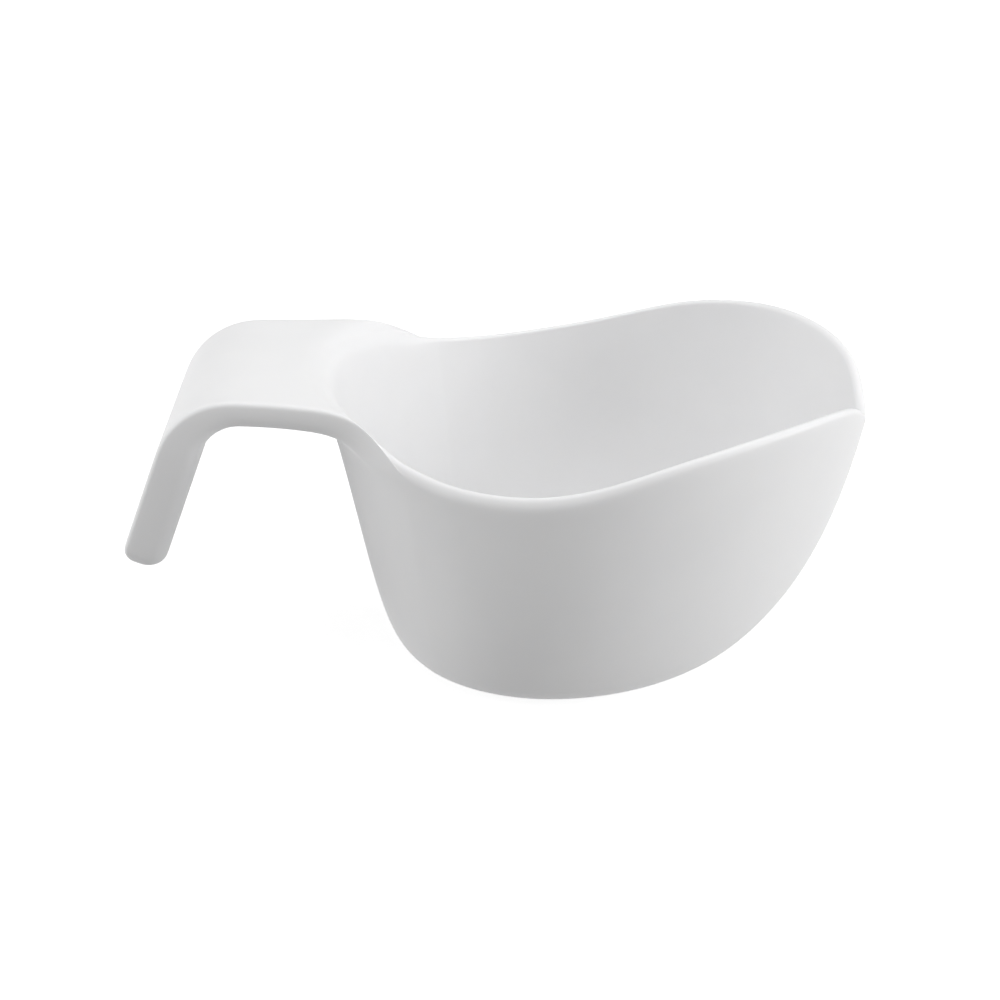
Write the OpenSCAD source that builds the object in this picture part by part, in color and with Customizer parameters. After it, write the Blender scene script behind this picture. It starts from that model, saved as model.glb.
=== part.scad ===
// Hair colour bowl with a pouring lip and a hooked strap handle.
// Units are millimetres. +Z is up, +X points at the pouring lip, -X at the handle.
// The origin is the centre of the face that the bowl rests on.

/* [Bowl] */
// How far the pouring lip reaches from the centre of the foot
lip_reach = 82; // [65:0.5:105]
// Greatest width across the rim, between wall centres
rim_width = 119; // [100:1:150]
// Height of the pouring lip
lip_height = 70; // [55:0.5:95]
// Height of the rim where it is highest, just before the lip
rim_peak = 82; // [62:0.1:105]
// Height of the rim where it is lowest, beside the handle
rim_low = 67.6; // [50:0.1:88]
// Thickness of the wall
wall = 3; // [2:0.1:4]
// Thickness of the floor
floor_thickness = 3.2; // [2.4:0.1:5]
// Radius of the flat part of the foot
foot_radius = 37.2; // [30:0.1:45]
// How softly the foot turns up into the wall under the handle
foot_turn_handle = 9.5; // [7:0.5:14]
// How far the wall sweeps out low down under the lip
foot_turn_lip = 32.5; // [15:0.5:40]

/* [Handle] */
// Height of the flat top of the handle
deck_height = 80; // [60:0.1:100]
// Width of the strap where it leaves the bowl
deck_width = 61; // [45:1:75]
// Width of the strap at its lower tip
tip_width = 52; // [35:1:65]
// How far the flat top reaches from the centre of the foot before it bends
deck_reach = 80.9; // [72:0.1:100]
// Radius of the bend, on its outer side
bend_radius = 22; // [13:0.5:24]
// Length of the straight drop below the bend
drop_length = 35.8; // [20:0.1:60]
// How far the drop leans outwards, in degrees
drop_lean = 19; // [5:1:30]
// Thickness of the strap at the flat top
deck_thickness = 8.3; // [7.6:0.1:10]
// Thickness of the strap in the drop
drop_thickness = 11.5; // [8:0.1:13]
// How far the mouth, where the flat top meets the bowl, lies from the centre
mouth_reach = 59.5; // [52:0.5:66]
// Height of the wall under the mouth
mouth_height = 77.5; // [58:0.1:98]
// Skin left round the hollow in the strap
strap_skin = 2.4; // [1.8:0.1:3]

/* [Handle cover] */
// Thickness of the cover that closes the strap from below
cover_thickness = 2; // [1.5:0.1:2.4]
// Width of the ledge that the cover rests on
cover_ledge = 1.5; // [0.8:0.1:2]
// Gap round the edge of the cover
cover_gap = 0.15; // [0.1:0.05:0.3]

/* [Grip ring] */
// Outer radius of the non-slip ring
ring_outer = 36; // [28:0.5:40]
// Width of the ring
ring_width = 4.5; // [3:0.5:7]
// How far the ring stands out below the foot
ring_stand = 0.8; // [0.4:0.1:1.5]
// How deep the ring sits in its groove
ring_seat = 1.4; // [0.8:0.1:2]

/* [Hidden] */
half_width = rim_width / 2;
z_foot = ring_stand;
z_floor = ring_stand + floor_thickness;
ring_gap = 0.1;
recess_depth = 1;
edge_top = 2.5;
edge_under = 4.5;
cover_inset = edge_under + 0.6;
crest_cover = 0.42;
shoulder = [-34, 0.743 * half_width, mix(rim_low, mouth_height, 0.2)];

function mix(a, b, t) = a + (b - a) * t;
function flip_y(p) = [p[0], -p[1], p[2]];

// A smooth curve through the points p[first] to p[last], steps points to a span.
function slope(a, b, c) =
    let (u = norm(b - a))
    let (v = norm(c - b))
    ((b - a) / u * v + (c - b) / v * u) / (u + v);
function span_at(a, b, c, d, t) =
    let (h = norm(c - b))
    let (m = slope(a, b, c) * h)
    let (n = slope(b, c, d) * h)
    b * (2 * t * t * t - 3 * t * t + 1) + m * (t * t * t - 2 * t * t + t)
        + c * (3 * t * t - 2 * t * t * t) + n * (t * t * t - t * t);
function smooth(p, first, last, steps) =
    [for (i = [first:last - 1]) for (k = [0:steps - 1])
        span_at(p[i - 1], p[i], p[i + 1], p[i + 2], k / steps)];

// The crest of the rim, from the lip round one side to the shoulder.
rim_side = [
    [lip_reach, 0, lip_height],
    [lip_reach - 3.6, 0.306 * half_width, mix(lip_height, rim_peak, 0.72)],
    [lip_reach - 18.5, 0.66 * half_width, rim_peak],
    [lip_reach - 42, 0.915 * half_width, mix(rim_low, rim_peak, 0.79)],
    [5, half_width, mix(rim_low, rim_peak, 0.12)],
    [-20, 0.879 * half_width, rim_low],
    shoulder];
rim_next = [-45, 0.6 * half_width, mix(rim_low, mouth_height, 0.6)];
rim_path = concat([flip_y(rim_side[1])], rim_side, [rim_next]);
rim_steps = 4;
rim_half = smooth(rim_path, 1, 7, rim_steps);

// The mouth: the part of the crest that the handle runs onto.
mouth_bow = 2.3;
mouth_dip = 2.8;
mouth_steps = 9;
function mouth_at(v) = [
    mix(-mouth_reach, shoulder[0], pow(v, mouth_bow)),
    shoulder[1] * v,
    mix(mouth_height, shoulder[2], pow(v, mouth_dip))];
mouth_half = [for (k = [0:mouth_steps]) mouth_at(cos(90 * k / mouth_steps))];
crest_half = concat(rim_half, mouth_half);
crest_n = len(crest_half);
crest = concat(
    crest_half,
    [for (k = [1:crest_n - 2]) flip_y(crest_half[crest_n - 1 - k])]);

// One side of the wall, as a curve from the foot to the rim. c is the cosine of
// its angle round the bowl: -1 at the handle, 0 at the side and 1 at the lip.
function blend3(c, handle, side, lip) =
    c < 0 ? mix(side, handle, c * c) : mix(side, lip, c * c);
function bezier(a, b, c, d, t) =
    a * pow(1 - t, 3) + b * 3 * t * pow(1 - t, 2) + c * 3 * t * t * (1 - t) + d * pow(t, 3);
function wall_lean(c) = blend3(c, 11, 4, 1.5);
function wall_rise(c) = blend3(c, 38, 40, 5);
wall_steps = 12;
round_steps = 6;
function section(p) =
    let (r = norm([p[0], p[1]]))
    let (c = p[0] / r)
    let (turn = blend3(c, foot_turn_handle, 10, foot_turn_lip))
    let (inner_turn = blend3(c, 0.62, 0.66, 0.92) * turn)
    let (low = p[2] - wall / 2)
    let (r_out = r + wall / 2)
    let (r_in = r - wall / 2)
    concat(
        [for (k = [0:wall_steps]) bezier(
            [foot_radius, z_foot],
            [foot_radius + turn, z_foot],
            [r_out - wall_lean(c), low - wall_rise(c)],
            [r_out, low], k / wall_steps)],
        [for (k = [1:round_steps - 1]) [
            r + wall / 2 * cos(180 * k / round_steps),
            low + wall / 2 * sin(180 * k / round_steps)]],
        [for (k = [0:wall_steps]) bezier(
            [r_in, low],
            [r_in - wall_lean(c) * 0.97, low - wall_rise(c)],
            [foot_radius + inner_turn, z_floor],
            [foot_radius - 1.5, z_floor], k / wall_steps)]);

module shell() {
    n = len(crest);
    m = 2 * wall_steps + round_steps + 1;
    points = [for (p = crest) for (q = section(p))
        let (r = norm([p[0], p[1]]))
        [q[0] * p[0] / r, q[0] * p[1] / r, q[1]]];
    sides = [for (i = [0:n - 1]) for (k = [0:m - 2]) for (h = [0:1])
        let (j = (i + 1) % n)
        h == 0 ? [i * m + k, i * m + k + 1, j * m + k]
            : [j * m + k, i * m + k + 1, j * m + k + 1]];
    bottom = [for (i = [0:n - 1]) i * m];
    top = [for (i = [0:n - 1]) (n - 1 - i) * m + m - 1];
    polyhedron(points, concat(sides, [bottom, top]));
}

// The strap's cross-lines run from its tip up the drop, round the bend and along
// the flat top: [edge x, half width, edge z, middle x, middle z, turn, thickness].
bend_end = 90 - drop_lean;
bend_x = -deck_reach - bend_radius * sin(bend_end);
bend_z = deck_height - bend_radius * (1 - cos(bend_end));
function drop_line(s, half) =
    let (x = bend_x - s * cos(bend_end))
    let (z = bend_z - s * sin(bend_end))
    [x, half, z, x, z, bend_end, drop_thickness];
function drop_half(s) = mix(0.95 * deck_width, tip_width, s / drop_length) / 2;
tip_round = 4.6;
tip_angles = [8, 30, 52, 72, 90];
tip_lines = [for (a = tip_angles)
    drop_line(drop_length - tip_round * (1 - cos(a)),
        drop_half(drop_length) - tip_round * (1 - sin(a)))];
drop_steps = 5;
drop_lines = [for (k = [1:drop_steps])
    let (s = (drop_length - tip_round) * (1 - k / (drop_steps + 1)))
    drop_line(s, drop_half(s))];
bend_steps = 8;
bend_lines = [for (k = [0:bend_steps])
    let (a = bend_end * (1 - k / bend_steps))
    let (x = -deck_reach - bend_radius * sin(a))
    let (z = deck_height - bend_radius * (1 - cos(a)))
    let (half = mix(0.95, 0.97, k / bend_steps) * deck_width / 2)
    [x, half, z, x, z, a, mix(drop_thickness, deck_thickness, k / bend_steps)]];
flare_x = -deck_reach + 13;
flare_path = [
    [-deck_reach - 8, 0.95 * deck_width / 2, deck_height],
    [-deck_reach, 0.97 * deck_width / 2, deck_height],
    [flare_x, deck_width / 2, deck_height],
    [flare_x + 19, deck_width / 2 + 4, deck_height - 1.5],
    shoulder,
    rim_side[5]];
flare_steps = 4;
flare_edges = concat(smooth(flare_path, 1, 4, flare_steps), [shoulder]);
flare_n = len(flare_edges) - 1;
flare_lines = [for (k = [1:flare_n])
    let (e = flare_edges[k])
    let (f = max(0, (k - flare_steps) / (flare_n - flare_steps)))
    let (x = k <= flare_steps ? e[0] : mix(flare_x, -mouth_reach, f))
    let (z = mix(deck_height, mouth_height, f * f))
    let (sink = k == flare_n ? crest_cover : 0)
    [e[0], e[1], e[2] - sink, x, z - sink, 0, deck_thickness]];
lines = concat(drop_lines, bend_lines, flare_lines);
last_hollow = drop_steps + bend_steps + flare_steps + 4;
// The hollow and its cover run on cross-lines half a step away from the strap's own.
pocket = [for (k = [0:last_hollow]) (lines[k] + lines[k + 1]) / 2];

// One point of the strap: y across it and depth below its top face.
function strap_point(s, y, depth) =
    let (v = min(1, abs(y) / s[1]))
    [mix(s[3], s[0], pow(v, mouth_bow)) + depth * sin(s[5]), y,
        mix(s[4], s[2], pow(v, mouth_dip)) - depth * cos(s[5])];
function rounding(y, half, r) =
    let (d = half - abs(y))
    d >= r ? 0 : r - sqrt(max(0, r * r - (r - d) * (r - d)));
// Leans the last cross-line in with the wall that it ends inside.
function lean_in(p, depth) =
    let (r = norm([p[0], p[1]]))
    let (c = p[0] / r)
    let (k = 1 - depth * wall_lean(c) / wall_rise(c) / r)
    [p[0] * k, p[1] * k, p[2]];
function strap_row(s, places, lean) =
    [for (k = [0:2 * len(places) - 1])
        let (over = k < len(places))
        let (y = over ? places[k] : places[2 * len(places) - 1 - k])
        let (d = over ? rounding(y, s[1], edge_top) : s[6] - rounding(y, s[1], edge_under))
        let (p = strap_point(s, y, d))
        lean ? lean_in(p, d) : p];
function strap_places(half) =
    let (edge = [half, half - 0.25, half - 0.9, half - edge_top, half - edge_under])
    concat(-1 * edge, [for (k = [1:6]) mix(-1, 1, k / 7) * edge[4]],
        [for (k = [0:4]) edge[4 - k]]);

// Skins a row of cross-lines into one solid.
module loft(rings) {
    n = len(rings);
    m = len(rings[0]);
    points = [for (ring = rings) for (p = ring) p];
    sides = [for (i = [0:n - 2]) for (k = [0:m - 1]) for (h = [0:1])
        let (j = (k + 1) % m)
        h == 0 ? [i * m + k, i * m + j, (i + 1) * m + k]
            : [(i + 1) * m + k, i * m + j, (i + 1) * m + j]];
    start = [for (k = [0:m / 2 - 2]) for (h = [0:1])
        h == 0 ? [k, m - 1 - k, k + 1] : [k + 1, m - 1 - k, m - 2 - k]];
    end = [for (f = start) [f[0] + (n - 1) * m, f[2] + (n - 1) * m, f[1] + (n - 1) * m]];
    polyhedron(points, concat(sides, start, end));
}

// The tip's cross-lines are pinched towards the middle of the strap's thickness.
function pinched(row, s, pinch) =
    let (mid = s[6] / 2)
    let (back = [sin(s[5]), 0, -cos(s[5])])
    [for (p = row)
        let (d = (p - [s[0], 0, s[2]]) * back)
        p + back * (mid - d) * pinch / mid];

module strap() {
    n = len(lines) - 1;
    tip = [for (i = [0:len(tip_lines) - 1])
        let (s = tip_lines[i])
        pinched(strap_row(s, strap_places(s[1]), false), s, tip_round * (1 - sin(tip_angles[i])))];
    body = [for (k = [0:n]) strap_row(lines[k], strap_places(lines[k][1]), k == n)];
    loft(concat(tip, body));
}

// The hollow in the strap, with the ledge that the cover rests on.
module hollow() {
    loft([for (s = pocket)
        let (wide = s[1] - cover_inset)
        let (narrow = wide - cover_ledge)
        let (ledge = s[6] - cover_thickness)
        let (side = [wide, narrow + 0.05, narrow])
        let (places = concat(-1 * side, [for (k = [1:4]) mix(-1, 1, k / 5) * narrow],
            [for (k = [0:2]) side[2 - k]]))
        [for (k = [0:2 * len(places) - 1])
            let (over = k < len(places))
            let (y = over ? places[k] : places[2 * len(places) - 1 - k])
            strap_point(s, y, !over ? s[6] + 1 : abs(y) > narrow + 0.01 ? ledge : strap_skin)]]);
}

module ring_groove() {
    translate([0, 0, z_foot - 1])
        difference() {
            cylinder(h = 1 + ring_seat, r = ring_outer + ring_gap, $fn = 72);
            translate([0, 0, -1])
                cylinder(h = 3 + ring_seat, r = ring_outer - ring_width - ring_gap, $fn = 72);
        }
    translate([0, 0, z_foot - 1])
        cylinder(h = 1 + recess_depth, r = ring_outer - ring_width - 2.5, $fn = 72);
}

// The one-piece moulding: bowl, foot, lip and hollow strap. resize with zeros
// keeps its size and joins its faceted pieces into a single closed mesh.
module bowl_body() {
    color("white")
        resize([0, 0, 0])
        difference() {
            union() {
                shell();
                strap();
            }
            hollow();
            ring_groove();
        }
}

// The cover that closes the strap from below.
module handle_under_cover() {
    color("gainsboro")
        loft([for (k = [0:last_hollow])
            let (s = pocket[k])
            let (shift = k == 0 ? cover_gap : k == last_hollow ? -cover_gap : 0)
            let (half = s[1] - cover_inset - cover_gap)
            let (places = [for (j = [0:7]) mix(-1, 1, j / 7) * half])
            [for (j = [0:15])
                let (over = j < 8)
                let (p = strap_point(s, over ? places[j] : places[15 - j],
                    over ? s[6] - cover_thickness : s[6]))
                p + shift * [cos(s[5]), 0, sin(s[5])]]]);
}

// The soft ring that the bowl stands on.
module base_grip_ring() {
    color("silver")
        rotate_extrude($fn = 96)
        translate([ring_outer - ring_width, 0])
        square([ring_width, ring_stand + ring_seat]);
}

bowl_body();
handle_under_cover();
base_grip_ring();
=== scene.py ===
# %% [markdown]
# # A hair colour bowl in white plastic
# The bowl is one moulding: a round foot, a thin wall with a wavy rim and a pouring lip, and
# a wide strap handle that bends down. A cover closes the strap from below, and a soft ring
# under the foot stops the bowl from sliding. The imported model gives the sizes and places.

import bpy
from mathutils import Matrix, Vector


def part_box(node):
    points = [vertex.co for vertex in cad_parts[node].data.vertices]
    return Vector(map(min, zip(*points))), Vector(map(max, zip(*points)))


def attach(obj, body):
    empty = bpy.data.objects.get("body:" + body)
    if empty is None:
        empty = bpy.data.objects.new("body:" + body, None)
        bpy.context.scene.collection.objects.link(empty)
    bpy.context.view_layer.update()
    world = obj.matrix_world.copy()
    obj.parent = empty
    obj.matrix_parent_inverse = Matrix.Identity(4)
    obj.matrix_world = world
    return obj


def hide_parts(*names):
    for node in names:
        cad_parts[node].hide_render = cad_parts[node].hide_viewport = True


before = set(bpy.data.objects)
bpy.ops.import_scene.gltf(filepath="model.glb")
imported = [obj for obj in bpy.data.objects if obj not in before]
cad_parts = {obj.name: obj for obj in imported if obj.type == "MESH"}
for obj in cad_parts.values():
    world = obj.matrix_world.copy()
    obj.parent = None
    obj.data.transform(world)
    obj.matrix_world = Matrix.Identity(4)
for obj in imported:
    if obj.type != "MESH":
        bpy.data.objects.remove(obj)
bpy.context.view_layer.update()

# %% Bring in the tools of the trade
import math

import bmesh
import bpy
from mathutils import Vector

scene = bpy.context.scene
MM = 0.001

# %% [markdown]
# The camera looks down at the bowl from the front, with the handle on the left. A long lens
# from a metre away keeps the two ends of the bowl in true proportion, as a product shot does.

# %% Set up the camera
turn, rise, far = math.radians(4), math.radians(25), 1.0
look_at = Vector((-0.016, 0, 0.038))
toward = Vector((math.sin(turn) * math.cos(rise), -math.cos(turn) * math.cos(rise),
                 math.sin(rise)))
camera = bpy.data.objects.new("camera", bpy.data.cameras.new("camera"))
scene.collection.objects.link(camera)
camera.location = look_at + toward * far
camera.rotation_euler = toward.to_track_quat("Z", "Y").to_euler()
camera.data.lens = 133.2
camera.data.sensor_width = 36
camera.data.shift_x = 0.0096
camera.data.shift_y = 0.0092
camera.data.clip_end = 20
scene.camera = camera
print("camera at", [round(v, 3) for v in camera.location])

# %% [markdown]
# The rim is what gives this bowl its character. It is low beside the handle, climbs to its
# highest point two thirds of the way along, and dips again to a soft pouring lip. It could be
# drawn as a curve object, but the wall has to follow it all round, so it is kept as a list of
# points that a smooth curve passes through. All these sizes are in millimetres.

# %% Draw the crest of the rim
body_high = Vector(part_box("bowl_body")[1]) / MM
wall = 3.0
half_width = 59.5
lip_height, rim_low = 70.0, 67.6
rim_peak = body_high.z
lip_reach = body_high.x - wall / 2
mouth_reach, mouth_height = 59.5, 77.5


def mix(a, b, t):
    return a + (b - a) * t


def ease(t):
    t = max(0.0, min(1.0, t))
    return t * t * (3 - 2 * t)


def flip_y(p):
    return Vector((p.x, -p.y, p.z))


def slope(a, b, c):
    u, v = (b - a).length, (c - b).length
    return ((b - a) / u * v + (c - b) / v * u) / (u + v)


def curve_at(points, first, u):
    """A point of the smooth curve through the points, u spans after points[first]."""
    i = first + min(int(u), len(points) - first - 3)
    t = u - (i - first)
    a, b, c, d = points[i - 1:i + 3]
    h = (c - b).length
    return (b * (2 * t ** 3 - 3 * t ** 2 + 1) + slope(a, b, c) * h * (t ** 3 - 2 * t ** 2 + t)
            + c * (3 * t ** 2 - 2 * t ** 3) + slope(b, c, d) * h * (t ** 3 - t ** 2))


shoulder = Vector((-34, 0.743 * half_width, mix(rim_low, mouth_height, 0.2)))
rim_side = [Vector(p) for p in (
    (lip_reach + 0.5, 0, lip_height),
    (lip_reach - 2.7, 0.306 * half_width, mix(lip_height, rim_peak, 0.72)),
    (lip_reach - 17.6, 0.66 * half_width, rim_peak),
    (lip_reach - 42, 0.915 * half_width, mix(rim_low, rim_peak, 0.79)),
    (5, half_width, mix(rim_low, rim_peak, 0.12)),
    (-20, 0.879 * half_width, rim_low))] + [shoulder]
rim_next = Vector((-45, 0.6 * half_width, mix(rim_low, mouth_height, 0.6)))
rim_path = [flip_y(rim_side[1])] + rim_side + [rim_next]
rim_spans, rim_steps = 6, 4
rim_half = [curve_at(rim_path, 1, k / rim_steps) for k in range(rim_spans * rim_steps)]
print(len(rim_half), "crest points from the lip to the shoulder")

# %% [markdown]
# Behind the shoulders the rim turns into the mouth, where the flat top of the handle runs
# down into the bowl. The crest there is an arc that bows towards the handle. Its points sit
# closer together near the shoulders, because the strap's rounded edges start from them.

# %% Draw the mouth between the shoulders
mouth_places = [1, 0.985, 0.95, 0.905, 0.835, 0.668, 0.501, 0.334, 0.167, 0]


def bowed(v):
    return abs(v) ** 2.3


def dipped(v):
    return abs(v) ** 2.8


def mouth_at(v):
    return Vector((mix(-mouth_reach, shoulder.x, bowed(v)), shoulder.y * v,
                   mix(mouth_height, shoulder.z, dipped(v))))


half_crest = rim_half + [mouth_at(v) for v in mouth_places]
first_mouth, middle = len(rim_half), len(half_crest) - 1
crest = half_crest + [flip_y(p) for p in reversed(half_crest[1:-1])]
columns = len(crest)
print(columns, "columns round the bowl, the handle between", first_mouth, "and",
      columns - first_mouth)


def folded(column):
    """The column on the +Y side that mirrors this one, and the side it is on."""
    return (column, 1) if column <= middle else (columns - column, -1)

# %% [markdown]
# The wall's side view changes round the bowl: upright at the handle, a soft S at the sides
# and a long sweep out under the lip. One Bezier curve gives the outer face and another the
# inner face. Their handles are blended by the direction that the column faces, which keeps
# the wall 3 mm thick and free of ripples.

# %% Shape the wall's section
foot_radius, ring_stand, floor_thickness = 37.2, 0.8, 3.2
z_foot, z_floor = ring_stand, ring_stand + floor_thickness
# Each triple is the value at the handle, at the sides and under the lip.
outer_turn, inner_turn, inner_share = (9.5, 10, 34.5), (9.5, 10, 32.5), (0.62, 0.66, 0.92)
wall_lean, wall_lift = (11, 4, 1.5), (38, 40, 5)


def blend3(c, handle, side, lip):
    return mix(side, handle if c < 0 else lip, c * c)


def bezier(a, b, c, d, t):
    s = 1 - t
    return tuple(i * s ** 3 + 3 * j * t * s * s + 3 * k * t * t * s + m * t ** 3
                 for i, j, k, m in zip(a, b, c, d))


def radial(p):
    r = math.hypot(p.x, p.y)
    return r, p.x / r, p.y / r


def outer_at(p, t):
    r, c, _ = radial(p)
    turn_out, low = blend3(c, *outer_turn), p.z - wall / 2
    lean, lift = blend3(c, *wall_lean), blend3(c, *wall_lift)
    return bezier((foot_radius, z_foot), (foot_radius + turn_out, z_foot),
                  (r + wall / 2 - lean, low - lift), (r + wall / 2, low), t)


def inner_at(p, t):
    r, c, _ = radial(p)
    turn_in = blend3(c, *inner_share) * blend3(c, *inner_turn)
    lean, lift, low = blend3(c, *wall_lean), blend3(c, *wall_lift), p.z - wall / 2
    return bezier((r - wall / 2, low), (r - wall / 2 - lean * 0.97, low - lift),
                  (foot_radius + turn_in, z_floor), (foot_radius - 1.5, z_floor), t)


def at_height(side_of_wall, p, z):
    """The place on the wall's curve that is at height z, found by halving."""
    a, b = 0.0, 1.0
    rising = side_of_wall(p, 1)[1] > side_of_wall(p, 0)[1]
    for _ in range(40):
        m = (a + b) / 2
        if (side_of_wall(p, m)[1] < z) == rising:
            a = m
        else:
            b = m
    return (a + b) / 2


def swing(p, rz):
    """Turns a radius and a height into a point in the direction of crest point p."""
    _, cx, cy = radial(p)
    return Vector((rz[0] * cx, rz[0] * cy, rz[1]))

# %% [markdown]
# The strap is described by cross-lines: each has an edge, a middle, a turn and a thickness.
# They run from the mouth along the flat top, round the bend, down the drop and round the
# tip. Its top edges are rounded to 1.5 mm and its under edges to 4.5 mm.

# %% Lay out the strap's cross-lines
deck_height, deck_width, tip_width, deck_reach = 80.0, 61.0, 52.0, 80.9
bend_radius, drop_length, drop_lean, tip_round = 22.0, 35.8, 19.0, 4.6
deck_thickness, drop_thickness = 8.3, 11.5
edge_top, edge_under, cover_inset, cover_thickness = 1.5, 4.5, 5.1, 2.0
bend_end = math.radians(90 - drop_lean)
flare_x = -deck_reach + 13
flare_path = [Vector(p) for p in (
    (-deck_reach - 8, 0.95 * deck_width / 2, deck_height),
    (-deck_reach, 0.97 * deck_width / 2, deck_height),
    (flare_x, deck_width / 2, deck_height),
    (flare_x + 19, deck_width / 2 + 4, deck_height - 1.5))] + [shoulder, rim_side[5]]


def flare_line(f):
    """f is 0 where the strap starts to widen and 1 at the mouth."""
    e = curve_at(flare_path, 2, 2 * f)
    x, z = mix(flare_x, -mouth_reach, f), mix(deck_height, mouth_height, f * f)
    return dict(edge=e, x=x, z=z, turn=0.0, thick=deck_thickness, f=f, pinch=0.0)


def straight_line(x, z, half, angle, thick, pinch=0.0):
    return dict(edge=Vector((x, half, z)), x=x, z=z, turn=angle, thick=thick, f=0.0,
                pinch=pinch)


def drop_line(s, inset=0.0, pinch=0.0):
    x = -deck_reach - bend_radius * math.sin(bend_end) - s * math.cos(bend_end)
    z = deck_height - bend_radius * (1 - math.cos(bend_end)) - s * math.sin(bend_end)
    half = mix(0.95 * deck_width, tip_width, s / drop_length) / 2 - inset
    return straight_line(x, z, half, bend_end, drop_thickness, pinch)


def tip_line(a):
    """A cross-line of the rounded tip, at angle a up from the tip's end."""
    short = tip_round * (1 - math.sin(a))
    return drop_line(drop_length - tip_round * (1 - math.cos(a)), 0.8 * short, short)


def deck_line(t):
    e = curve_at(flare_path, 1, 1 - t)
    return dict(edge=e, x=e.x, z=e.z, turn=0.0, thick=deck_thickness, f=0.0, pinch=0.0)


def bend_line(t):
    a = bend_end * t
    return straight_line(-deck_reach - bend_radius * math.sin(a),
                         deck_height - bend_radius * (1 - math.cos(a)),
                         mix(0.97, 0.95, t) * deck_width / 2, a,
                         mix(deck_thickness, drop_thickness, t))


flare_rows, deck_rows, bend_rows, cover_drop_rows, mouth_share = 8, 3, 8, 4, 0.76
tip_angles = (72, 52, 30, 8)
drop_end = drop_length - tip_round
cover_end = 0.75 * drop_end
after_flare = ([deck_line(k / deck_rows) for k in range(1, deck_rows + 1)]
               + [bend_line(k / bend_rows) for k in range(1, bend_rows + 1)]
               + [drop_line(cover_end * k / cover_drop_rows)
                  for k in range(1, cover_drop_rows + 1)]
               + [drop_line(cover_end + 0.6), drop_line(mix(cover_end, drop_end, 0.55)),
                  drop_line(drop_end)]
               + [tip_line(math.radians(a)) for a in tip_angles])
strap_rows = flare_rows + len(after_flare)
cover_first, cover_last = 1, flare_rows + deck_rows + bend_rows + cover_drop_rows
print(strap_rows, "cross-lines, the cover between", cover_first, "and", cover_last)

# %% [markdown]
# A point of the strap is found from its cross-line, its place across and its side. The
# columns sit at the same places as those of the mouth, so the strap can later be drawn out
# of the bowl's wall with no seam: that is how the real moulding flows, too.

# %% Place a point of the strap
top_offsets = (0, 0.2, 0.75, edge_top, cover_inset)
under_offsets = (0, 0.6, 2.25, edge_under, cover_inset)


last_place = len(mouth_places) - 1
edge_swell = 1.4


def rounding(d, r):
    return 0.0 if d >= r else r - math.sqrt(max(0.0, r * r - (r - d) ** 2))


def on_strap(line, y, depth):
    """A point at y across the strap and at depth below its top face."""
    half = line["edge"].y
    v = min(1.0, abs(y) / half)
    if line["pinch"]:
        centre = line["thick"] / 2
        depth += (centre - depth) * line["pinch"] / centre
    return Vector((mix(line["x"], line["edge"].x, bowed(v)) + depth * math.sin(line["turn"]), y,
                   mix(line["z"], line["edge"].z, dipped(v)) - depth * math.cos(line["turn"])))


def strap_point(line, column, over, sunk=0.0, drawn_in=0.0):
    """The strap's surface at a column of the mouth, on its top or under face."""
    place, side = folded(column)
    i = place - first_mouth
    half = line["edge"].y
    offsets = top_offsets if over else under_offsets
    even = (half - offsets[i] if i < len(offsets)
            else (half - cover_inset) * (last_place - i) / (last_place - len(offsets) + 1))
    y = mix(even, half * mouth_places[i], line["f"] ** 2)
    d = half - y
    depth = rounding(d, edge_top) if over else line["thick"] - rounding(d, edge_under)
    p = on_strap(line, side * max(0.0, y - drawn_in), depth - sunk)
    r, cx, cy = radial(p)
    swell = edge_swell * line["f"] ** 2 * mouth_places[i] ** 4
    return p + Vector((cx, cy, 0)) * swell


def soft_share(column):
    """0 at the rim and 1 along the mouth, where the crest is a wide soft curve."""
    i = folded(column)[0] - first_mouth
    return ease((1 - mouth_places[i]) / 0.1) if i >= 0 else 0.0


def flare_at(row, column):
    """The strap's line between mouth and flare: near the middle it starts further out."""
    near = 1 - (1 - mouth_share) * soft_share(column)
    return flare_line(near * (1 - row / flare_rows))


def line_of(row, column):
    return flare_at(row, column) if row <= flare_rows else after_flare[row - flare_rows - 1]

# %% [markdown]
# Now every ring of the bowl is given a place: the underside of the foot with the groove for
# the grip ring, the outer wall, the crest, the inner wall and the floor. Along the rim the
# crest is round, and at the sides of the bowl its outer half is fuller: it falls further and
# more slowly than the inner half, which gives the rim its broad soft highlight. At the mouth
# it is a wide soft curve, from the flat top over into the bowl, and the two are blended.

# %% Give each ring of the bowl its place
wall_rings, inner_rings, crest_rings, crest_fall = 11, 12, 7, 3.4
fuller_fall, fuller_shift, rim_band = 1.6, 0.5, 7.0
ring_outer, ring_width, ring_seat, ring_gap = 36.0, 4.5, 1.4, 0.1
groove_out, groove_in = ring_outer + ring_gap, ring_outer - ring_width - ring_gap
recess, z_recess, z_groove = ring_outer - ring_width - 2.5, z_foot + 1.0, z_foot + ring_seat
underside = [(6, z_recess), (17, z_recess), (recess - 0.3, z_recess), (recess, z_recess - 0.25),
             (recess, z_foot + 0.25), (recess + 0.25, z_foot), (groove_in - 0.2, z_foot),
             (groove_in, z_foot + 0.2), (groove_in, z_groove - 0.2),
             (groove_in + 0.2, z_groove), (groove_out - 0.2, z_groove),
             (groove_out, z_groove - 0.2), (groove_out, z_foot + 0.15),
             (groove_out + 0.15, z_foot)]


def under_depth(column):
    """How far below the crest the strap's under face, or the rim's band, leaves the wall."""
    place, _ = folded(column)
    if place >= first_mouth:
        v = mouth_places[place - first_mouth]
        return deck_thickness - rounding((1 - v) * shoulder.y, edge_under)
    return mix(deck_thickness - edge_under, rim_band, ease((first_mouth - place) / 6))


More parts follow.
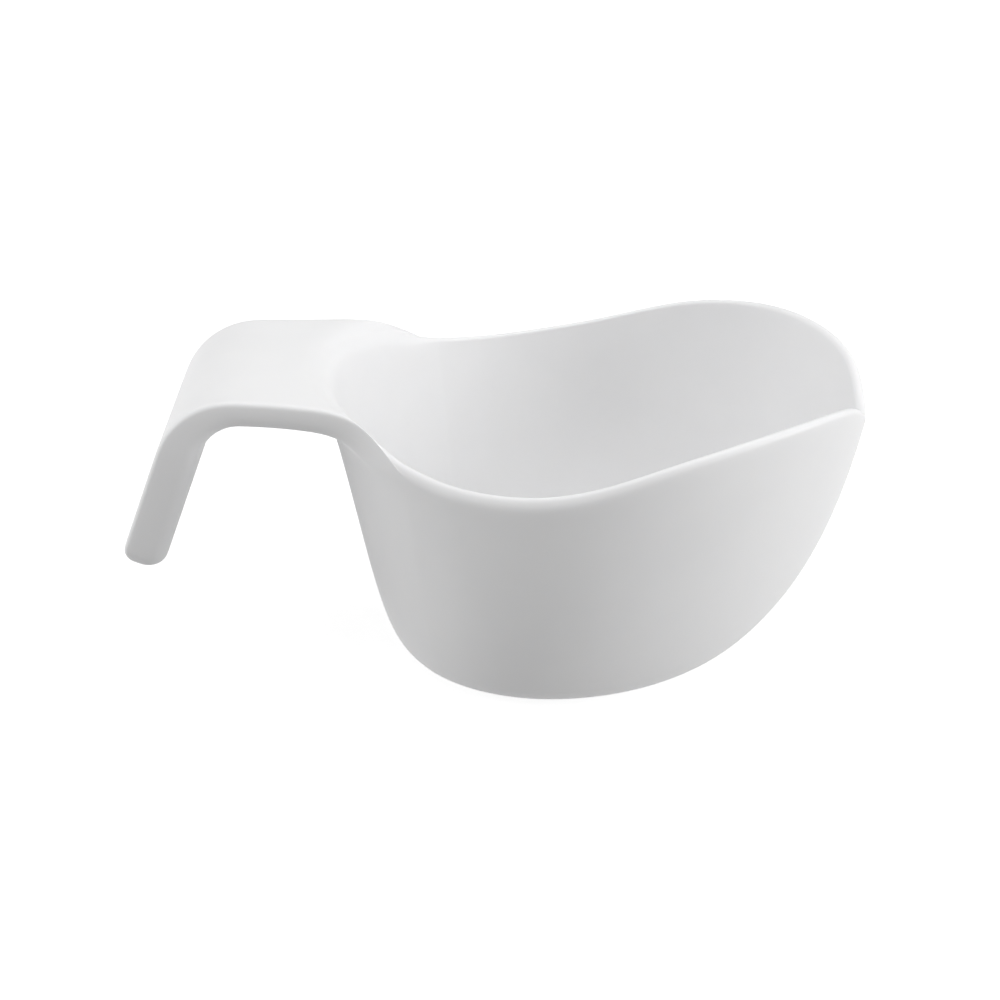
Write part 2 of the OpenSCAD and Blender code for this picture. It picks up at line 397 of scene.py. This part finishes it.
def wall_place(column, k):
    p = crest[column]
    top = at_height(outer_at, p, p.z - under_depth(column))
    return swing(p, outer_at(p, top * k / wall_rings))


def crest_place(column, k):
    p = crest[column]
    r, cx, _ = radial(p)
    a = math.pi * k / (crest_rings - 1)
    fuller = ease((1.05 - cx) / 0.9) * ease((cx + 0.9) / 0.5)
    drop = fuller_fall * fuller * (1 - math.sin(a)) if a < math.pi / 2 else 0.0
    rim = swing(p, (r + wall / 2 * math.cos(a) - fuller_shift * fuller * math.sin(a),
                    p.z - wall / 2 + wall / 2 * math.sin(a) - drop))
    soft = soft_share(column)
    if soft == 0:
        return rim
    start = strap_point(flare_at(0, column), column, True)
    corner = swing(p, (r - wall / 2 + 0.4, p.z + 0.2))
    end = swing(p, inner_at(p, at_height(inner_at, p, p.z - crest_fall)))
    t = k / (crest_rings - 1)
    curve = start * (1 - t) ** 2 + corner * 2 * t * (1 - t) + end * t * t
    return mix(rim, curve, soft)


def inner_place(column, k):
    p = crest[column]
    first = mix(0.0, at_height(inner_at, p, p.z - crest_fall), soft_share(column))
    return swing(p, inner_at(p, mix(first, 1.0, k / inner_rings)))


def disc_place(column, r, z):
    return swing(crest[column], (r, z))


rings = [lambda c, q=q: disc_place(c, *q) for q in underside]
rings += [lambda c, k=k: wall_place(c, k) for k in range(wall_rings + 1)]
strap_ring = len(rings) - 1
rings += [lambda c, k=k: crest_place(c, k) for k in range(crest_rings)]
rings += [lambda c, k=k: inner_place(c, k) for k in range(1, inner_rings + 1)]
floor_radii = (24, 13, 5)
rings += [lambda c, r=r: disc_place(c, r, z_floor) for r in floor_radii]
print(len(rings), "rings, the strap leaves between", strap_ring, "and", strap_ring + 1)

# %% [markdown]
# The bowl is grown ring by ring, as one would by hand: a circle is added, its edge is
# extruded, and the new ring is moved to its place. Each point remembers its ring and its
# column in two attributes, which an extrusion copies, so the code can always find it again.

# %% Helpers for growing a mesh
def alone(piece):
    bpy.ops.object.select_all(action="DESELECT")
    piece.select_set(True)
    bpy.context.view_layer.objects.active = piece


def edit(piece):
    alone(piece)
    bpy.ops.object.mode_set(mode="EDIT")


def leave_edit():
    bpy.ops.object.mode_set(mode="OBJECT")


def place_selected(piece, where, ring=None):
    """Moves each selected point to where(column, ring), in millimetres."""
    mesh = bmesh.from_edit_mesh(piece.data)
    at_column = mesh.verts.layers.int["column"]
    at_ring = mesh.verts.layers.int["ring"]
    for v in mesh.verts:
        if v.select:
            if ring is not None:
                v[at_ring] = ring
            v.co = where(v[at_column], v[at_ring]) * MM
    bmesh.update_edit_mesh(piece.data)


def apply_all(piece):
    alone(piece)
    for modifier in list(piece.modifiers):
        bpy.ops.object.modifier_apply(modifier=modifier.name)


def subdivide_smooth(piece, levels):
    smooth = piece.modifiers.new("smooth", "SUBSURF")
    smooth.levels = smooth.render_levels = levels


def mesh_report(piece):
    mesh = bmesh.new()
    mesh.from_mesh(piece.data)
    open_edges = sum(1 for e in mesh.edges if len(e.link_faces) != 2)
    print(piece.name, len(mesh.faces), "faces,", open_edges, "open edges, volume",
          round(mesh.calc_volume(signed=True) * 1e6, 2), "ml")
    mesh.free()

# %% Grow the bowl from its underside to its floor
bpy.ops.object.select_all(action="DESELECT")
bpy.ops.mesh.primitive_circle_add(vertices=columns, radius=6 * MM, fill_type="NOTHING",
                                  location=(0, 0, z_recess * MM))
bowl = bpy.context.object
bowl.name = bowl.data.name = "bowl_moulding"
bpy.ops.object.transform_apply(location=True, rotation=True, scale=True)
column_of = bowl.data.attributes.new("column", "INT", "POINT")
column_of.data.foreach_set("value", list(range(columns)))
bowl.data.attributes.new("ring", "INT", "POINT")
edit(bowl)
bpy.ops.mesh.select_mode(type="VERT")
bpy.ops.mesh.select_all(action="SELECT")
place_selected(bowl, lambda c, r: rings[0](c), 0)
for number in range(1, len(rings)):
    bpy.ops.mesh.extrude_edges_move()
    place_selected(bowl, lambda c, r, n=number: rings[n](c), number)
bpy.ops.mesh.extrude_edges_move()
bpy.ops.mesh.merge(type="CENTER")
mesh = bmesh.from_edit_mesh(bowl.data)
at_ring = mesh.verts.layers.int["ring"]
for v in mesh.verts:
    v.select_set(v[at_ring] == 0)
mesh.select_flush_mode()
bmesh.update_edit_mesh(bowl.data)
bpy.ops.mesh.extrude_edges_move()
bpy.ops.mesh.merge(type="CENTER")
leave_edit()
mesh_report(bowl)

# %% [markdown]
# The strap is drawn out of the wall. The faces between two rings behind the mouth are
# selected and extruded row by row, each row moved to its cross-line. The upper points ride
# on the top face and the lower points on the under face, and the last row closes the tip.

# %% Draw the handle strap out of the wall
edit(bowl)
bpy.ops.mesh.select_mode(type="FACE")
bpy.ops.mesh.select_all(action="DESELECT")
mesh = bmesh.from_edit_mesh(bowl.data)
at_column, at_ring = mesh.verts.layers.int["column"], mesh.verts.layers.int["ring"]
root_faces = [f for f in mesh.faces if all(
    v[at_ring] in (strap_ring, strap_ring + 1)
    and first_mouth <= v[at_column] <= columns - first_mouth for v in f.verts)
    and len({v[at_ring] for v in f.verts}) == 2]
for f in root_faces:
    f.select_set(True)
print(len(root_faces), "faces behind the mouth")
bmesh.update_edit_mesh(bowl.data)
row_step = 1000
for row in range(1, strap_rows + 1):
    bpy.ops.mesh.extrude_region_move()
    mesh = bmesh.from_edit_mesh(bowl.data)
    at_column, at_ring = mesh.verts.layers.int["column"], mesh.verts.layers.int["ring"]
    for v in mesh.verts:
        if v.select:
            over = v[at_ring] % row_step == strap_ring + 1
            v.co = strap_point(line_of(row, v[at_column]), v[at_column], over) * MM
            v[at_ring] = row * row_step + v[at_ring] % row_step
    bmesh.update_edit_mesh(bowl.data)
leave_edit()
mesh_report(bowl)

# %% [markdown]
# The cover lies in a shallow rebate, so from below only a fine seam shows. The under faces
# inside the seam are extruded into the strap in small steps. A short step at the top and
# another at the bottom keep the corners crisp when the surface is subdivided.

# %% Sink the rebate for the cover
edit(bowl)
bpy.ops.mesh.select_mode(type="FACE")
bpy.ops.mesh.select_all(action="DESELECT")
mesh = bmesh.from_edit_mesh(bowl.data)
at_column, at_ring = mesh.verts.layers.int["column"], mesh.verts.layers.int["ring"]
seam_column = first_mouth + len(under_offsets) - 1
for f in mesh.faces:
    f.select_set(all(v[at_ring] % row_step == strap_ring
                     and cover_first <= v[at_ring] // row_step <= cover_last
                     and seam_column <= v[at_column] <= columns - seam_column
                     for v in f.verts))
bmesh.update_edit_mesh(bowl.data)
rebate_steps = ((0.2, 0.0), (1.8, 0.0), (2.05, 0.25))
for sunk, drawn_in in rebate_steps:
    bpy.ops.mesh.extrude_region_move()
    place_selected(bowl, lambda c, r, s=sunk, d=drawn_in: strap_point(
        line_of(r // row_step, c), c, False, s, d if c in (seam_column, columns - seam_column)
        else 0.0))
bpy.ops.mesh.select_all(action="SELECT")
bpy.ops.mesh.remove_doubles(threshold=0.000001)
bpy.ops.mesh.normals_make_consistent(inside=False)
leave_edit()
mesh_report(bowl)

# %% Smooth the moulding
subdivide_smooth(bowl, 2)
apply_all(bowl)
bpy.ops.object.shade_smooth()
for name in ("column", "ring"):
    bowl.data.attributes.remove(bowl.data.attributes[name])
mesh_report(bowl)

# %% [markdown]
# The cover that closes the strap is a thin plate that follows the strap's under face with a
# hair's gap all round. It is a grid laid along the cross-lines, given a thickness and a
# fine rounded edge.

# %% Lay the cover in its rebate
cover_rows, cover_columns, seam_gap = cover_last - cover_first, 10, 0.15
bpy.ops.object.select_all(action="DESELECT")
bpy.ops.mesh.primitive_grid_add(x_subdivisions=cover_rows, y_subdivisions=cover_columns,
                                size=1, location=(0, 0, 0))
cover = bpy.context.object
cover.name = cover.data.name = "strap_cover"
for v in cover.data.vertices:
    row = cover_first + round((v.co.x + 0.5) * cover_rows)
    across = round((v.co.y + 0.5) * cover_columns) / cover_columns * 2 - 1
    line = line_of(row, middle)
    half = line["edge"].y - cover_inset - seam_gap
    p = on_strap(line, across * half, line["thick"])
    along = Vector((math.cos(line["turn"]), 0, math.sin(line["turn"])))
    shift = -seam_gap if row == cover_first else seam_gap if row == cover_last else 0
    v.co = (p + along * shift) * MM
edit(cover)
bpy.ops.mesh.select_all(action="SELECT")
bpy.ops.mesh.normals_make_consistent(inside=False)
leave_edit()
print("cover's first face looks", [round(c, 2) for c in cover.data.polygons[0].normal])
thicken = cover.modifiers.new("thicken", "SOLIDIFY")
thicken.thickness = (cover_thickness - 0.05) * MM
thicken.offset = -1 if cover.data.polygons[0].normal.z < 0 else 1
soften = cover.modifiers.new("soften", "BEVEL")
soften.width, soften.segments, soften.limit_method = 0.25 * MM, 2, "ANGLE"
soften.angle_limit = math.radians(50)
subdivide_smooth(cover, 1)
apply_all(cover)
edit(cover)
bpy.ops.mesh.select_all(action="SELECT")
bpy.ops.mesh.normals_make_consistent(inside=False)
leave_edit()
alone(cover)
bpy.ops.object.shade_smooth_by_angle(angle=math.radians(40))
mesh_report(cover)

# %% [markdown]
# The grip ring is a soft band pressed into a groove under the foot. A circle is extruded up,
# in and down again and joined to where it began, and its four corners are rounded.

# %% Make the grip ring
bpy.ops.object.select_all(action="DESELECT")
bpy.ops.mesh.primitive_circle_add(vertices=128, radius=ring_outer * MM, fill_type="NOTHING",
                                  location=(0, 0, 0))
ring = bpy.context.object
ring.name = ring.data.name = "grip_ring"
edit(ring)
bpy.ops.mesh.select_mode(type="EDGE")
bpy.ops.mesh.select_all(action="SELECT")
ring_height, ring_inner = ring_stand + ring_seat, ring_outer - ring_width
bpy.ops.mesh.extrude_edges_move(TRANSFORM_OT_translate={"value": (0, 0, ring_height * MM)})
shrink = ring_inner / ring_outer
bpy.ops.mesh.extrude_edges_move()
bpy.ops.transform.resize(value=(shrink, shrink, 1), center_override=(0, 0, 0))
bpy.ops.mesh.extrude_edges_move(TRANSFORM_OT_translate={"value": (0, 0, -ring_height * MM)})
bpy.ops.mesh.extrude_edges_move()
bpy.ops.transform.resize(value=(1 / shrink, 1 / shrink, 1), center_override=(0, 0, 0))
bpy.ops.mesh.select_all(action="SELECT")
bpy.ops.mesh.remove_doubles(threshold=0.00001)
bpy.ops.mesh.normals_make_consistent(inside=False)
leave_edit()
soften = ring.modifiers.new("soften", "BEVEL")
soften.width, soften.segments, soften.limit_method = 0.35 * MM, 3, "ANGLE"
soften.angle_limit = math.radians(50)
apply_all(ring)
alone(ring)
bpy.ops.object.shade_smooth_by_angle(angle=math.radians(40))
mesh_report(ring)

# %% [markdown]
# Shader maths reads best as plain sums, so one small class wraps a node's socket and turns
# each operator into a Math node. Every other node comes from one method, which takes the
# node's type, its settings and the values or links of its inputs.

# %% A small kit for writing materials
class Wire:
    """A socket of a material's node tree that can be used in a sum."""

    def __init__(self, tree, socket=None):
        self.tree, self.socket = tree, socket

    def node(self, kind, out=0, settings=None, **inputs):
        made = self.tree.nodes.new(kind)
        for key, value in (settings or {}).items():
            setattr(made, key, value)
        for key, value in inputs.items():
            numbered = key[0] == "i" and key[1:].isdigit()
            place = int(key[1:]) if numbered else key.replace("_", " ")
            self.feed(made.inputs[place], value)
        return Wire(self.tree, made.outputs[out])

    def feed(self, place, value):
        if isinstance(value, Wire):
            self.tree.links.new(value.socket, place)
        else:
            place.default_value = value

    def sum(self, operation, first, second):
        return self.node("ShaderNodeMath", settings={"operation": operation},
                         i0=first, i1=second)

    def __add__(self, other):
        return self.sum("ADD", self, other)

    def __radd__(self, other):
        return self.sum("ADD", other, self)

    def __sub__(self, other):
        return self.sum("SUBTRACT", self, other)

    def __rsub__(self, other):
        return self.sum("SUBTRACT", other, self)

    def __mul__(self, other):
        return self.sum("MULTIPLY", self, other)

    def __rmul__(self, other):
        return self.sum("MULTIPLY", other, self)

    def span(self, low, high, new_low=0.0, new_high=1.0):
        return self.node("ShaderNodeMapRange", settings={"interpolation_type": "SMOOTHSTEP"},
                         i0=self, i1=low, i2=high, i3=new_low, i4=new_high)


def new_finish(name, **constants):
    """A material, its wires, its Principled shader and its place pattern in metres."""
    material = bpy.data.materials.new(name)
    material.use_nodes = True
    shader = material.node_tree.nodes["Principled BSDF"]
    for key, value in constants.items():
        shader.inputs[key.replace("_", " ")].default_value = value
    tree = Wire(material.node_tree)
    place = tree.node("ShaderNodeTexCoord", out="Object")
    return material, tree, shader, place


def noise(tree, place, size_mm, detail=2.0, roughness=0.5):
    """Cloudy noise whose patches are about size_mm across, from 0 to 1."""
    return tree.node("ShaderNodeTexNoise", out="Fac", Vector=place, Scale=1000.0 / size_mm,
                     Detail=detail, Roughness=roughness)


def tint(tree, amount, first, second):
    """One colour fading into another."""
    return tree.node("ShaderNodeMix", out=2, settings={"data_type": "RGBA"},
                     i0=amount, i6=(*first, 1), i7=(*second, 1))

# %% [markdown]
# The moulding is a satin white plastic. Up close such a surface has a very fine grain from
# the spark-eroded mould, faint cloudiness where the melt cooled unevenly, and hair-fine
# marks from washing that run in all directions. The colour barely changes; the light does
# the work, through the roughness and a very shallow bump.

# %% The satin white of the moulding
def white_plastic(name, base, shade, rough_low, rough_high, grain):
    material, tree, shader, place = new_finish(
        name, IOR=1.49, Specular_IOR_Level=0.42, Subsurface_Weight=0.06,
        Subsurface_Radius=(1.0, 0.9, 0.8), Subsurface_Scale=0.003)
    cloud = noise(tree, place, 34, detail=3)
    patch = noise(tree, place, 7, detail=4, roughness=0.6)
    fine = noise(tree, place, 0.45, detail=2)
    speckle = noise(tree, place, 1.6, detail=3)
    streak = tree.node("ShaderNodeVectorMath", settings={"operation": "MULTIPLY"},
                       i0=place, i1=(0.12, 1.0, 2.4))
    wipe = noise(tree, streak, 2.2, detail=5, roughness=0.62).span(0.55, 0.72)
    tree.feed(shader.inputs["Base Color"],
              tint(tree, cloud.span(0.35, 0.65) * 0.6 + patch * 0.4, shade, base))
    tree.feed(shader.inputs["Roughness"],
              cloud.span(0.3, 0.7, rough_low, rough_high) + (speckle - 0.5) * 0.08
              + wipe * 0.035)
    height = fine * 0.55 + speckle * 0.3 + patch * 0.5 + wipe * -0.12
    bump = tree.node("ShaderNodeBump", Strength=grain, Distance=0.00006, Height=height)
    tree.feed(shader.inputs["Normal"], bump)
    print(name, "has", len(material.node_tree.nodes), "nodes")
    return material


def paint(piece, finish):
    piece.data.materials.clear()
    piece.data.materials.append(finish)


paint(bowl, white_plastic("satin_white", (0.875, 0.875, 0.878), (0.85, 0.85, 0.856),
                          0.42, 0.52, 0.35))
paint(cover, white_plastic("cover_white", (0.86, 0.86, 0.862), (0.83, 0.83, 0.836),
                           0.46, 0.58, 0.45))

# %% [markdown]
# The grip ring is a matt rubber in pale grey. Rubber scatters light, so it is rougher than
# the plastic, it carries a soft sheen, and its surface has a coarser, pitted grain with a
# little dust in the low places.

# %% The pale rubber of the grip ring
def pale_rubber(name):
    material, tree, shader, place = new_finish(
        name, IOR=1.5, Specular_IOR_Level=0.3, Sheen_Weight=0.15, Sheen_Roughness=0.6)
    pits = noise(tree, place, 0.8, detail=3)
    dust = noise(tree, place, 9, detail=4, roughness=0.65).span(0.42, 0.68)
    tree.feed(shader.inputs["Base Color"],
              tint(tree, dust, (0.56, 0.56, 0.57), (0.66, 0.66, 0.66)))
    tree.feed(shader.inputs["Roughness"], pits.span(0.3, 0.7, 0.72, 0.86) + dust * 0.05)
    tree.feed(shader.inputs["Normal"],
              tree.node("ShaderNodeBump", Strength=0.5, Distance=0.0001,
                        Height=pits + dust * 0.3))
    print(name, "has", len(material.node_tree.nodes), "nodes")
    return material


paint(ring, pale_rubber("grip_rubber"))

# %% [markdown]
# The bowl stands on a plain pale floor under soft studio light. The floor glows a little,
# like a light table, so it stays white under the bowl. It is hidden from diffuse rays: a
# white floor would throw so much light back up that the front of the wall lost its shape.
# The room's own glow gives that light instead, where its strength can be chosen.

# %% Build the floor
bpy.ops.object.select_all(action="DESELECT")
bpy.ops.mesh.primitive_plane_add(size=8, location=(0, 0, 0))
floor = bpy.context.object
floor.name = floor.data.name = "floor"
material, tree, shader, place = new_finish("floor_white", Roughness=0.9,
                                           Specular_IOR_Level=0.1)
tree.feed(shader.inputs["Base Color"],
          tint(tree, noise(tree, place, 400), (0.5, 0.5, 0.5), (0.52, 0.52, 0.52)))
shader.inputs["Emission Color"].default_value = (1, 1, 1, 1)
shader.inputs["Emission Strength"].default_value = 0.75
paint(floor, material)
floor.visible_diffuse = False

# %% [markdown]
# A large panel above lights the rim, the handle's flat top and the inside. Panels at both
# sides lighten the two ends of the wall, so its middle, which faces the camera, falls into
# a gentle grey. The room glows weakly at eye level and more from below, as a white table
# would light the underside, but hardly at all from straight down, where the foot's own
# shadow would lie.

# %% Hang the lights
def panel(name, place, aim, width, height, watts):
    light = bpy.data.lights.new(name, "AREA")
    light.shape, light.size, light.size_y, light.energy = "RECTANGLE", width, height, watts
    lamp = bpy.data.objects.new(name, light)
    scene.collection.objects.link(lamp)
    lamp.location = place
    lamp.rotation_euler = (Vector(place) - Vector(aim)).to_track_quat("Z", "Y").to_euler()


bowl_middle = (0, 0, 0.04)
panel("top_panel", (0.0, -0.05, 1.3), bowl_middle, 1.2, 0.8, 7.2)
panel("right_panel", (1.2, -0.3, 0.35), bowl_middle, 0.7, 0.8, 8.9)
panel("left_panel", (-1.2, -0.1, 0.35), bowl_middle, 0.6, 0.8, 5)
sky = bpy.data.worlds.new("soft_room")
sky.use_nodes = True
room = Wire(sky.node_tree)
height = room.node("ShaderNodeSeparateXYZ", out=2,
                   Vector=room.node("ShaderNodeTexCoord", out="Generated"))
glow = (height.span(-1.0, -0.7, 0.12, 0.62) + height.span(-0.7, -0.15, 0.0, -0.31)
        + height.span(0.1, 1.0, 0.0, 0.24))
room.feed(sky.node_tree.nodes["Background"].inputs["Strength"], glow)
sky.node_tree.nodes["Background"].inputs["Color"].default_value = (1, 1, 1, 1)
scene.world = sky
scene.view_settings.view_transform = "Standard"
scene.view_settings.look = "None"
print("three panels and a soft room")

# %% [markdown]
# Last, each piece is tied to the body it moves with, and the imported node it stands for is
# hidden.

# %% Tie the pieces to their body and hide the imported parts
for piece, node, slot in ((bowl, "bowl_body", "moulding"),
                          (cover, "handle_under_cover", "cover"),
                          (ring, "base_grip_ring", "grip")):
    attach(piece, "root")
    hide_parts(node)
